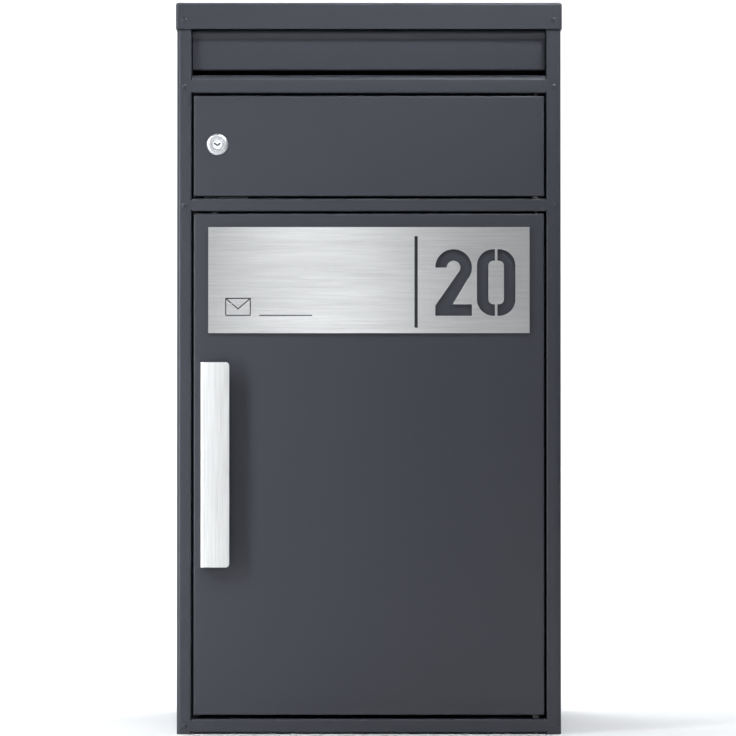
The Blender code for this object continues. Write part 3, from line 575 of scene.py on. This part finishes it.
def tray(name, upwards):
    """Shelf or floor: a sheet whose sides fold up or down, with softly rounded folds."""
    low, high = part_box(name)
    level = low.z + SHEET / 2 if upwards else high.z - SHEET / 2
    edge = high.z if upwards else low.z
    side = high.x - SHEET / 2
    line = [(-side, edge), (-side, level), (side, level), (side, edge)]
    panel = sheet(name, line, FOLD, "y", low.y, high.y)
    flange = sorted((edge, level))
    join(panel, box((-side + 2 * MM, high.y - SHEET, flange[0]), (side - 2 * MM, high.y, flange[1])))
    if not upwards:
        join(panel, box((-side + 2 * MM, low.y, flange[0]), (side - 2 * MM, low.y + SHEET, flange[1])))
    corner = -STOP_EDGE - 1.5 * MM
    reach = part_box("lock_cam")[0].y + 1.2 * MM
    notch = [box((-1.0, -1.0, low.z - 5 * MM), (-corner, reach, high.z + 5 * MM))]
    notch.append(box((corner, -1.0, low.z - 5 * MM), (1.0, reach, high.z + 5 * MM)))
    cut(panel, *notch)
    if not upwards:
        # Known fault: the drive pin pulls this middle 1.65 mm forward of the bolt's axis, so the bolt cuts
        # into the back edge of the hole.
        pierced(panel, [middle_of("latch_bolt")], BOLT_HOLE, high.z - 5 * MM, high.z + 5 * MM, "z")
    return painted(panel, "cabinet", name)


def letter_guard():
    low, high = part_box("letter_guard")
    start = (low.y + SHEET / 4, high.z - SHEET / 2)
    fold = (high.y - SHEET / 2, low.z + 14 * MM)
    guard = sheet("letter_guard", [start, fold, (fold[0], low.z)], 3 * MM, "x", low.x, high.x)
    return painted(guard, "cabinet", "letter_guard")


def rivet(node):
    """Dome head painted over, dimpled where its mandrel broke off, with its burr behind the sheet."""
    low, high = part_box(node)
    at = middle_of(node)
    head, head_height = high.x - at.x, 1.1 * MM
    under = low.y + head_height
    dome = arc((0.0, 0.0), 1.0, 90.0, 14.0, 10)
    profile = [(head * 1.03 * u, under - head_height * v) for u, v in dome]
    dimple = 0.75 * MM
    profile[0] = (dimple, low.y + 0.02 * MM)
    profile = [(0.0, under - 0.3 * MM), (dimple * 0.8, under - 0.35 * MM)] + profile
    shank = 1.6 * MM
    tail = high.y - 1.2 * MM
    profile += [(head, under - 0.1 * MM), (head, under), (shank, under), (shank, tail)]
    profile += [(shank * 1.7, tail), (shank * 1.6, tail + 0.7 * MM), (shank * 1.2, high.y), (0.0, high.y)]
    piece = solid(node, turned(profile, "y", (at.x, at.z), 32))
    return show(piece, "cabinet", "anthracite_paint", PAINT, node)


# Flap and doors ---------------------------------------------------------------------------------------------


def letter_flap():
    """Sheet rolled round the rod, with a hemmed lower edge."""
    low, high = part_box("letter_flap")
    rod = middle_of("flap_rod")
    knuckle = high.z - rod.z - SHEET / 2
    roll = arc((rod.y, rod.z), knuckle, 215.0, -20.0, 28)
    foot = low.z + SHEET / 2
    face = [(rod.y + 5 * MM, foot), (rod.y, foot), (rod.y, rod.z - 6.2 * MM)]
    line = rounded(face + [roll[0]], [FOLD, 4 * MM]) + roll[1:]
    flap = solid("letter_flap", prism(strip(line, SHEET), "x", low.x, high.x))
    painted(flap, "letter_flap", "letter_flap")


def flap_rod():
    rod = middle_of("flap_rod")
    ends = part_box("flap_rod")
    radius = 2.5 * MM
    chamfer = 0.5 * MM
    profile = [(0.0, ends[0].x), (radius - chamfer, ends[0].x), (radius, ends[0].x + chamfer)]
    profile += [(radius, ends[1].x - chamfer), (radius - chamfer, ends[1].x), (0.0, ends[1].x)]
    piece = solid("flap_rod", turned(profile, "x", (rod.y, rod.z), 32))
    show(piece, "cabinet", "black_steel", BLACK_STEEL, "flap_rod")


def door_pan(name, edge=1.8 * MM):
    """Skin with four edges folded back, drawn corners, and a relief slit beside each corner."""
    low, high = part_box(name)
    pan = solid(name, box(tuple(low), tuple(high)))

    def folded(a, b):
        front = max(a.y, b.y) < low.y + 1 * MM
        along = abs(a.y - b.y) > 1 * MM
        return front or along

    round_edges(pan, edge, folded, 8)
    inside_low = (low.x + SHEET, low.y + SHEET, low.z + SHEET)
    inside_high = (high.x - SHEET, high.y + 5 * MM, high.z - SHEET)
    cut(pan, box(inside_low, inside_high))
    slits = []
    slit_height = 0.3 * MM
    for x in (low.x, high.x - 4 * MM):
        for z in (low.z + 4.2 * MM, high.z - 4.5 * MM):
            slit_high = (x + 5 * MM, high.y + 1 * MM, z + slit_height)
            slits.append(box((x - 1 * MM, low.y + 4 * MM, z), slit_high))
    cut(pan, *slits)
    pins = [middle_of(pin) for pin in PIN_NAMES if pin.startswith(name.split("_")[0])]
    for wall in (low.z, high.z):
        pierced(pan, pins[:1], PIN_HOLE, wall - 3 * MM, wall + 3 * MM, "z")
    return pan


def letter_door():
    letter = door_pan("letter_door")
    pierced(letter, [middle_of("lock_plug")], LOCK_HOLE, FRONT - 3 * MM, FRONT + 4 * MM)
    painted(letter, "letter_door", "letter_door")


def parcel_door():
    parcel = door_pan("parcel_door")
    pierced(parcel, screw_places(), SCREW_HOLE, FRONT - 3 * MM, FRONT + 4 * MM)
    painted(parcel, "parcel_door", "parcel_door")


def door_stiffener():
    low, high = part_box("door_stiffener")
    seat, crown = low.y + SHEET / 2, high.y - SHEET / 2
    wide, narrow = high.x, 18 * MM
    hat = [(-wide, seat), (-narrow, seat), (-narrow, crown), (narrow, crown), (narrow, seat), (wide, seat)]
    stiffener = sheet("door_stiffener", hat, FOLD, "z", low.z, high.z)
    painted(stiffener, "parcel_door", "door_stiffener")


def lock_housing():
    """Domed rosette on its barrel, with a chamfered mouth round the plug."""
    ring_low, ring_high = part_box("lock_housing")
    at = middle_of("lock_plug")
    centre = (at.x, at.z)
    bore, barrel, rosette = 6.1 * MM, 9.5 * MM, ring_high.x - at.x
    proud = FRONT - ring_low.y
    crown = 3.4 * MM
    dome_start = rosette - crown
    profile = [(bore, FRONT - proud + 1.0 * MM), (bore + 0.4 * MM, FRONT - proud + 0.5 * MM)]
    profile += [(bore + 1.1 * MM, FRONT - proud)]
    for u, v in arc((0.0, 0.0), 1.0, 90.0, 0.0, 14):
        profile.append((dome_start + crown * u, FRONT - CLEAR - (proud - CLEAR) * v))
    profile += [(barrel, FRONT - CLEAR), (barrel, ring_high.y), (bore, ring_high.y)]
    housing = solid("lock_housing", turned(profile, "y", centre, 72, ring=True))
    show(ease_edges(housing, 0.15 * MM), "letter_door", "chrome", CHROME, "lock_housing")


def lock_plug():
    """Stepped plug with a recessed face and a V-shaped keyway, whose bottom carries a black prism of painted
    shade.
    """
    at = middle_of("lock_plug")
    centre = (at.x, at.z)
    face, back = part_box("lock_plug")
    radius, tail = half_width_of("lock_plug"), 3.0 * MM
    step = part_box("lock_cam")[0].y - CLEAR
    recess = face.y + 0.35 * MM
    plug = [
        (0.0, recess),
        (radius - 1.5 * MM, recess),
        (radius - 1.2 * MM, face.y),
        (radius - 0.5 * MM, face.y),
        (radius, face.y + 0.5 * MM),
        (radius, step),
        (tail, step),
        (tail, back.y),
        (0.0, back.y),
    ]
    piece = solid("lock_plug", turned(plug, "y", centre, 64))
    keyway = [
        (at.x - 3.5 * MM, at.z + 1.5 * MM),
        (at.x + 0.2 * MM, at.z - 1.2 * MM),
        (at.x + 3.2 * MM, at.z + 1.5 * MM),
    ]
    centre_line = rounded(keyway, 1.2 * MM)
    slit = prism(strip(centre_line, 1.5 * MM), "y", face.y - 2 * MM, face.y + 5 * MM)
    cut(piece, slit)
    # Painted shade: a black prism sits at the keyway's bottom to stand in for the dark of the deep slot.
    bottom = prism(strip(centre_line, 1.4 * MM), "y", face.y + 1.2 * MM, face.y + 4.9 * MM)
    show(solid("keyway_painted_shade", bottom), "lock_cylinder", "black_plastic", INK_AND_PAINTED_SHADE)
    show(ease_edges(piece, 0.1 * MM), "lock_cylinder", "chrome", PLUG, "lock_plug")


def handle():
    """Folded strip with rounded free corners, on two countersunk screws."""
    low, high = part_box("handle")
    thick = 2 * MM
    web, plate = low.x + thick / 2, low.y + thick / 2
    foot = high.y - thick / 2
    line = [(low.x + 20 * MM, foot), (web, foot), (web, plate), (high.x, plate)]
    grip = sheet("handle", line, 2 * MM, "z", low.z, high.z, thick)
    radius = 4 * MM
    excess = 2 * MM
    corners = []
    for z, side in ((low.z, -1), (high.z, 1)):
        centre = (high.x - radius, z - side * radius)
        past = z + side * excess
        curve = arc(centre, radius, 90.0 * side, 0.0, 14)
        curve += [(high.x + excess, centre[1]), (high.x + excess, past), (centre[0], past)]
        corners.append(prism(curve, "y", plate - 3 * MM, plate + 3 * MM))
    cut(grip, *corners)
    pierced(grip, screw_places(), SCREW_HOLE, foot - 3 * MM, foot + 3 * MM)
    show(ease_edges(grip, 0.3 * MM, 3), "parcel_door", "brushed_steel", HANDLE_STEEL, "handle")


# Number plate -----------------------------------------------------------------------------------------------

STROKE = 12.5 * MM
DIGIT_HEIGHT = 72.7 * MM


def digit_two(x, z):
    radius = 20 * MM
    middle = (x + radius, z + DIGIT_HEIGHT - radius)
    over = arc(middle, radius, 180.0, -42.0, 36)
    under = arc(middle, radius - STROKE, -42.0, 180.0, 28)
    width = 2 * radius
    base = [(x + 19 * MM, z + STROKE), (x + width, z + STROKE), (x + width, z), (x, z), (x, z + 11 * MM)]
    return over + base + under


def digit_zero_half(x, z, side):
    """One half of a stencil 0, split by a bridge down its middle."""
    half, bridge, corner = 21 * MM, 1.4 * MM, 18 * MM
    inner = corner - STROKE
    out_x = half - corner
    top, foot = z + DIGIT_HEIGHT - corner, z + corner
    outer = arc((out_x, top), corner, 90.0, 0.0, 20) + arc((out_x, foot), corner, 0.0, -90.0, 20)
    hollow = arc((out_x, foot), inner, -90.0, 0.0, 12) + arc((out_x, top), inner, 0.0, 90.0, 12)
    ends = [(bridge, z + DIGIT_HEIGHT)] + outer + [(bridge, z)]
    ends += [(bridge, z + STROKE)] + hollow + [(bridge, z + DIGIT_HEIGHT - STROKE)]
    return [(x + half + side * u, v) for u, v in ends]


def envelope_lines():
    """Centre lines of the engraved envelope and of the writing line beside it."""
    left, right, foot, top = -156.4 * MM, -129.6 * MM, 457.5 * MM, 476 * MM
    fold = ((left + right) / 2, foot + 7 * MM)
    border = [(left, foot), (left, top), (right, top), (right, foot)]
    bottom = [(left, foot), (right, foot)]
    flap = [(left, top), fold, (right, top)]
    writing = [(-120 * MM, foot), (-62 * MM, foot)]
    return [border, bottom, flap, writing]


def name_plate():
    low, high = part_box("name_plate")
    plate = solid("name_plate", box(tuple(low), tuple(high)))
    through = (low.y - 2 * MM, high.y + 2 * MM)
    digits_z = low.z + 19 * MM
    two_x, zero_x = 72.5 * MM, 118 * MM
    bar_left, bar_right = 49.8 * MM, 53.3 * MM
    shapes = [
        prism(digit_two(two_x, digits_z), "y", *through),
        prism(digit_zero_half(zero_x, digits_z, -1), "y", *through),
        prism(digit_zero_half(zero_x, digits_z, 1), "y", *through),
        box((bar_left, through[0], low.z + 6 * MM), (bar_right, through[1], high.z - 10 * MM)),
    ]
    cut(plate, *shapes)
    depth = 0.4 * MM  # of the engraving
    for line in envelope_lines():
        cut(plate, prism(strip(line, 1.2 * MM), "y", low.y - 2 * MM, low.y + depth))
    show(ease_edges(plate, 0.15 * MM), "parcel_door", "brushed_steel", PLATE_STEEL, "name_plate")
    for index, line in enumerate(envelope_lines()):
        stroke = prism(strip(line, 1.15 * MM), "y", low.y + 0.2 * MM, low.y + depth)
        fill = solid(f"engraving_fill_{index}", stroke)
        show(fill, "parcel_door", "black_plastic", INK_AND_PAINTED_SHADE)


# Latch ------------------------------------------------------------------------------------------------------


def latch_spring():
    """Helix of round wire with plain ends."""
    low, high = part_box("latch_spring")
    middle = middle_of("latch_spring")
    wire = 0.7 * MM
    radius = (high.x - low.x) / 2 - wire
    turns, around, sides = 4, 40, 12
    points, faces = [], []
    count = turns * around
    for i in range(count + 1):
        angle = 2 * math.pi * i / around
        height = low.z + wire + (high.z - low.z - 2 * wire) * i / count
        for k in range(sides):
            turn = 2 * math.pi * k / sides
            reach = radius + wire * math.cos(turn)
            x, y = middle.x + reach * math.cos(angle), middle.y + reach * math.sin(angle)
            points.append((x, y, height + wire * math.sin(turn)))
    for i in range(count):
        for k in range(sides):
            a, b = i * sides + k, i * sides + (k + 1) % sides
            faces.append([a, b, b + sides, a + sides])
    faces.append(list(range(sides))[::-1])
    faces.append(list(range(count * sides, (count + 1) * sides)))
    show(solid("latch_spring", (points, faces)), "cabinet", "zinc_plate", ZINC, "latch_spring")


# Buffers and kept nodes -------------------------------------------------------------------------------------


def door_buffer(node):
    """Low rubber dome with a flat back."""
    low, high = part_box(node)
    at = middle_of(node)
    radius = high.x - at.x
    dome = arc((0.0, 0.0), 1.0, 90.0, 0.0, 10)
    deep = high.y - low.y
    profile = [(radius * u, high.y - deep * (0.35 + 0.65 * v)) for u, v in dome]
    profile[0] = (0.0, low.y)
    profile += [(radius, high.y), (0.0, high.y)]
    show(solid(node, turned(profile, "y", (at.x, at.z), 40)), "cabinet", "black_rubber", RUBBER, node)


KEPT_LOOKS = {
    "anthracite_paint": PAINT,
    "brushed_steel": HANDLE_STEEL,
    "chrome": CHROME,
    "zinc_plate": ZINC,
    "black_rubber": RUBBER,
    "black_plastic": PLASTIC,
    "black_steel": BLACK_STEEL,
}


def dress_kept_nodes():
    """Gives each CAD node its procedural material; nodes that a piece replaces aren't shown anyway."""
    slots = {part["node"]: part["material_slot"] for part in frame["record"]["subparts"]}
    for name, node in frame["nodes"].items():
        node.data.materials.clear()
        node.data.materials.append(KEPT_LOOKS[slots[name]])


# Studio -----------------------------------------------------------------------------------------------------


def studio_sweep():
    """Pale floor that curves up into a round wall, far enough out to stay behind a camera on any side."""
    wall, bend, top, steps = 7.5, 2.5, 7.0, 96
    path = rounded([(wall - bend - 0.1, 0.0), (wall, 0.0), (wall, top)], bend, 24)
    turns = [math.tau * k / steps for k in range(steps)]
    build = bmesh.new()
    rows = [[build.verts.new((r * math.cos(a), r * math.sin(a), z)) for a in turns] for r, z in path]
    build.faces.new(rows[0])
    for a, b in zip(rows, rows[1:]):
        for k in range(steps):
            build.faces.new((a[k - 1], b[k - 1], b[k], a[k]))
    mesh = bpy.data.meshes.new("studio_sweep")
    build.to_mesh(mesh)
    build.free()
    mesh.shade_smooth()
    sweep = bpy.data.objects.new("studio_sweep", mesh)
    bpy.context.scene.collection.objects.link(sweep)
    look = material("pale floor", (0.90, 0.90, 0.90), 0.9)
    shader_of(look)[1].inputs["Specular IOR Level"].default_value = 0.0
    mesh.materials.append(look)


def softbox(name, at, target, size, power, spread=180.0):
    """Rectangular light aimed at a place; a spread under 180 degrees is a grid over its face."""
    lamp = bpy.data.lights.new(name, "AREA")
    lamp.shape = "RECTANGLE"
    lamp.size, lamp.size_y = size
    lamp.energy = power
    lamp.color = (0.95, 0.97, 1.0)
    lamp.spread = math.radians(spread)
    light = bpy.data.objects.new(name, lamp)
    light.location = at
    light.rotation_euler = (Vector(target) - Vector(at)).to_track_quat("-Z", "Y").to_euler()
    light.visible_camera = False
    bpy.context.scene.collection.objects.link(light)


def lights():
    """Grids at the left, the right and the top shape the front; the strip at the camera lights the metals."""
    softbox("left high grid", (-0.9, -0.9, 1.0), (-0.2, FRONT, 0.4), (0.3, 0.8), 1.5, 60.0)
    softbox("left low grid", (-0.8, -0.85, 0.32), (-0.25, FRONT, 0.32), (0.3, 0.7), 0.66, 50.0)
    softbox("right top grid", (0.9, -1.5, 2.1), (0.2, FRONT, 0.95), (0.8, 0.4), 2.6, 26.0)
    softbox("camera strip", (-0.12, FRONT - 4.4, 0.5), (-0.05, FRONT, 0.45), (0.34, 1.6), 3.3)
    softbox("floor grid", (0.0, -2.4, 1.6), (0.0, -0.9, 0.0), (2.0, 0.3), 4.5, 40.0)
    softbox("overhead softbox", (0.0, 0.6, 3.0), (0.0, 0.4, 0.0), (3.0, 2.0), 50.0)
    softbox("backdrop softbox", (0.0, 2.8, 5.0), (0.0, 6.0, 0.8), (6.0, 2.0), 400.0)
    world = bpy.data.worlds.new("studio")
    bpy.context.scene.world = world
    world.use_nodes = True
    background = world.node_tree.nodes["Background"]
    background.inputs["Color"].default_value = (0.93, 0.96, 1.0, 1.0)
    background.inputs["Strength"].default_value = 0.03


def camera():
    """Four metres in front, a little below the cabinet's middle, and aimed at its middle."""
    view = bpy.data.cameras.new("camera")
    view.sensor_width = 36.0
    view.lens = 179.0
    viewer = bpy.data.objects.new("camera", view)
    aim = Vector((-1 * MM, FRONT, roof_box[1].z / 2))
    distance, drop = 4.0, 0.053
    viewer.location = aim - Vector((0.0, distance, drop))
    viewer.rotation_euler = (aim - viewer.location).to_track_quat("-Z", "Y").to_euler()
    bpy.context.scene.collection.objects.link(viewer)
    bpy.context.scene.camera = viewer
    bpy.context.scene.view_settings.view_transform = "Standard"


dress_kept_nodes()
side_panel("left_side_panel", -1, "left")
side_panel("right_side_panel", 1, "right")
for rail_name in RAIL_NAMES:
    rail(rail_name, SILL_FOLD if rail_name == "upper_rail" else FOLD)
roof()
back_panel()
tray("floor_panel", True)
tray("compartment_floor", False)
letter_guard()
for side_word in ("left", "right"):
    for rivet_name in RIVET_NAMES:
        rivet(f"rivet_{rivet_name}_{side_word}")
letter_flap()
flap_rod()
letter_door()
parcel_door()
door_stiffener()
lock_housing()
lock_plug()
handle()
name_plate()
latch_spring()
for buffer_name in ("buffer_letter_door", "buffer_parcel_upper", "buffer_parcel_lower"):
    door_buffer(buffer_name)
studio_sweep()
lights()
camera()
